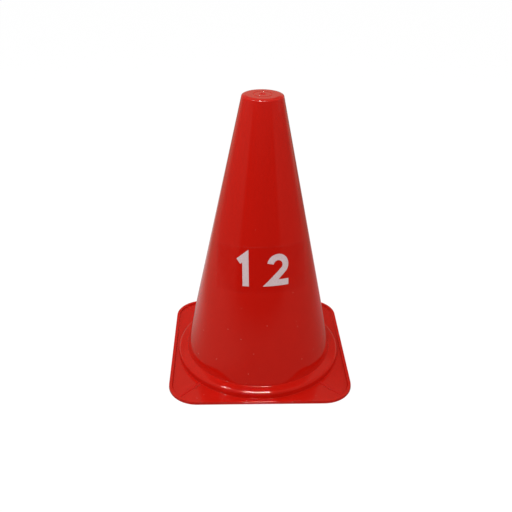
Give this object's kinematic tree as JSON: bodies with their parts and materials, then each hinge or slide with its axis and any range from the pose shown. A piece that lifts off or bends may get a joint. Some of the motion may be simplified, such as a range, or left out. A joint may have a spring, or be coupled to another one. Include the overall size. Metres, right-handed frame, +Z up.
{
  "type": "sports marker cone",
  "caption": "Hollow moulded marker cone on a square base plate with a raised rim, a rounded ring at the foot, diagonal ribs and a clear film label on its front.",
  "frame": {"origin": "centre of the face that the cone rests on", "axes": "+Z up along the cone's axis; -Y is the front, where the film label is"},
  "size_m": [0.2, 0.2, 0.305],
  "materials": {
    "red_plastic": "glossy moulded red",
    "clear_film": "clear self-adhesive film"
  },
  "bodies": {
    "root": {"cone_moulding": "red_plastic", "label_film": "clear_film"}
  },
  "joints": []
}
